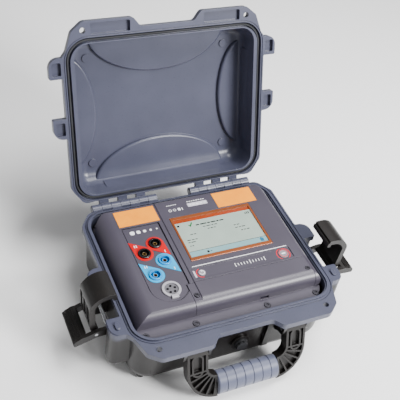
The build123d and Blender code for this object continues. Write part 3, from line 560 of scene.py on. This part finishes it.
# a plain house sign in the foot bar, and a tick at the head of the menu
house_x = view_right - 8
roof = ink(house_x, view_front + 6.4, 4.4, 4.4, glass_top + INK, 0, math.radians(45))
house = ink(house_x, view_front + 4.0, 4.6, 3.6, glass_top + 1.5 * INK)
show(join([roof, house]), "picture_house", "picture_navy", "#1f6f93", "#1a6284")
tick = [ink(-8.6, 51.6, 1.5, 4.0, glass_top, 0.3, math.radians(35)),
        ink(-6.0, 53.3, 1.7, 8.0, glass_top, 0.3, math.radians(-35))]
show(join(tick), "picture_tick", "picture_green", "#1f7a3c", "#196a33")
# Rolled aluminium back of the display module: bare satin metal, hidden under the panel.
module_tin = moulding("module_tin", "#b9bcbd", "#a9acae", 0.35, 2.0, 0.02, Metallic=1.0)
dress(module_tin, "display_module")

# ---- Keys ----
# Two round silicone-topped keys in the sunk strip, power on the left and start on the
# right, each with a printed sign on its cap and a red ring round it.
# Compression-moulded silicone rubber: satin, with a faint pebble.
key_silicone = moulding("key_silicone", "#8a858c", "#7e7a81", 0.5, 0.7, 0.03, IOR=1.43)
dress(key_silicone, "power_key", "start_key")
red_print = film_finish("red_ring_print", "#d8283a", "#c81f30")
power_x, start_x = -25.0, 92.0
power_ring = hoop(power_x, strip_y, 7.6, 6.4, strip_floor, start=-85, sweep=170)
settle(power_ring, "power_ring", red_print, "base")
start_ring = hoop(start_x, strip_y, 9.8, 8.6, strip_floor)
settle(start_ring, "start_ring", red_print, "base")
cap_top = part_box("power_key")[1][2]
power_sign = [hoop(power_x, strip_y, 3.6, 2.7, cap_top, start=120, sweep=300),
              ink(power_x, strip_y + 2.2, 0.9, 3.0, cap_top, 0.2)]
settle(join(power_sign), "power_sign", white_print, "power_key")
cap_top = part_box("start_key")[1][2]
start_sign_ring = hoop(start_x, strip_y, 6.3, 5.4, cap_top)
settle(start_sign_ring, "start_sign_ring", red_print, "start_key")
start_sign_bar = ink(start_x, strip_y, 6.0, 2.0, cap_top, 0.9)
settle(start_sign_bar, "start_sign_bar", white_print, "start_key")


# ---- Electronics inside ----
# A main board on four posts, a display board, a measuring transformer, three
# electrolytic capacitors and two rechargeable cells in a tray, all under the panel.
def board_laminate():
    # Glass-epoxy board with green solder resist: glossy, with paler lines where copper
    # tracks lie under it.
    material = moulding("green_solder_resist", "#1d6b3a", "#165a30", 0.3, 1.0, 0.01, IOR=1.5)
    tree = material.node_tree
    place = step(tree, "TexCoord").outputs["Object"]
    tracks = step(tree, "TexBrick", {"Vector": place, "Scale": 1 / (10 * MM), "Mortar Size": 0.05,
                                     "Color1": srgb("#1d6b3a"), "Color2": srgb("#175c32"),
                                     "Mortar": srgb("#3f9a55")})
    coloured_over(material, 0.6, tracks.outputs[0])
    return material


dress(board_laminate(), "main_board", "display_board")
# Stamped transformer laminations under brown varnish: dark, half metallic, close-grained.
laminations = moulding("varnished_laminations", "#3a332c", "#2a2520", 0.35, 0.5, 0.05, Metallic=0.5)
dress(laminations, "transformer")
# Shrunk polyester sleeves on the capacitor cans: glossy dark blue with a soft ripple.
can_sleeve = moulding("capacitor_sleeve", "#1f2a4a", "#172040", 0.25, 2.0, 0.02, IOR=1.54)
dress(can_sleeve, *[name for name in cad if name.startswith("capacitor_")])
# Moulded ABS tray: plain matt black.
tray_finish = moulding("holder_abs", "#1c1c1e", "#141416", 0.5, 1.0, 0.04, IOR=1.53)
dress(tray_finish, "battery_holder")
# Shrink film on the two cells: bright glossy blue, a little wavy.
cell_film = moulding("cell_shrink_film", "#2b5fa8", "#214f92", 0.22, 3.0, 0.03, IOR=1.54)
dress(cell_film, "battery_cells")

# ---- Pressure valve ----
# A round nylon body pressed through the front wall under the flange, with a notched knob
# that is turned by hand to let air in or out.
# Injection-moulded black nylon: matt, with a fine eroded grain.
valve_nylon = moulding("valve_nylon", "#242427", "#19191b", 0.5, 0.8, 0.05, IOR=1.53)
dress(valve_nylon, "vent_valve", "vent_knob")


# ---- Carrying handle ----
# A ribbed U-shaped frame of glass-filled nylon swings on two pins under the front
# flange; a soft grip with finger grooves is moulded over its middle bar.
def glass_filled_nylon():
    # Black glass-filled nylon: brown-black, satin, with pale fibres just under its skin.
    material = moulding("glass_filled_nylon", "#1c1918", "#131110", 0.36, 0.9, 0.06,
                        IOR=1.53, Specular_IOR_Level=0.35)
    tree = material.node_tree
    place = step(tree, "TexCoord").outputs["Object"]
    streak = [1 / (size * MM) for size in (0.8, 6, 3)]
    flow = step(tree, "Mapping", {"Vector": place, "Scale": streak})
    fibres = step(tree, "TexNoise", {"Vector": flow.outputs[0], "Scale": 1.0, "Detail": 6.0})
    pale = step(tree, "MapRange", {"Value": fibres.outputs["Fac"], "From Min": 0.58,
                                   "From Max": 0.8, "To Max": 0.5})
    coloured_over(material, pale.outputs[0], "#3a3431")
    return material


nylon = glass_filled_nylon()
dress(nylon, "handle_frame")
# Thermoplastic rubber moulded over the bar: blue-grey and silky, with a fine sand texture.
grip_rubber = moulding("grip_rubber", "#4e536b", "#474b61", 0.45, 0.7, 0.06,
                       Sheen_Weight=0.3, IOR=1.5)
dress(grip_rubber, "handle_grip")

# ---- Latches ----
# Each double-throw latch is a lever on a steel pin between the base's ears, carrying a
# C-shaped claw on a cross pin. Both are moulded in the handle's glass-filled nylon.
dress(nylon, *[name for name in cad if name.startswith(("latch_lever", "latch_claw"))])
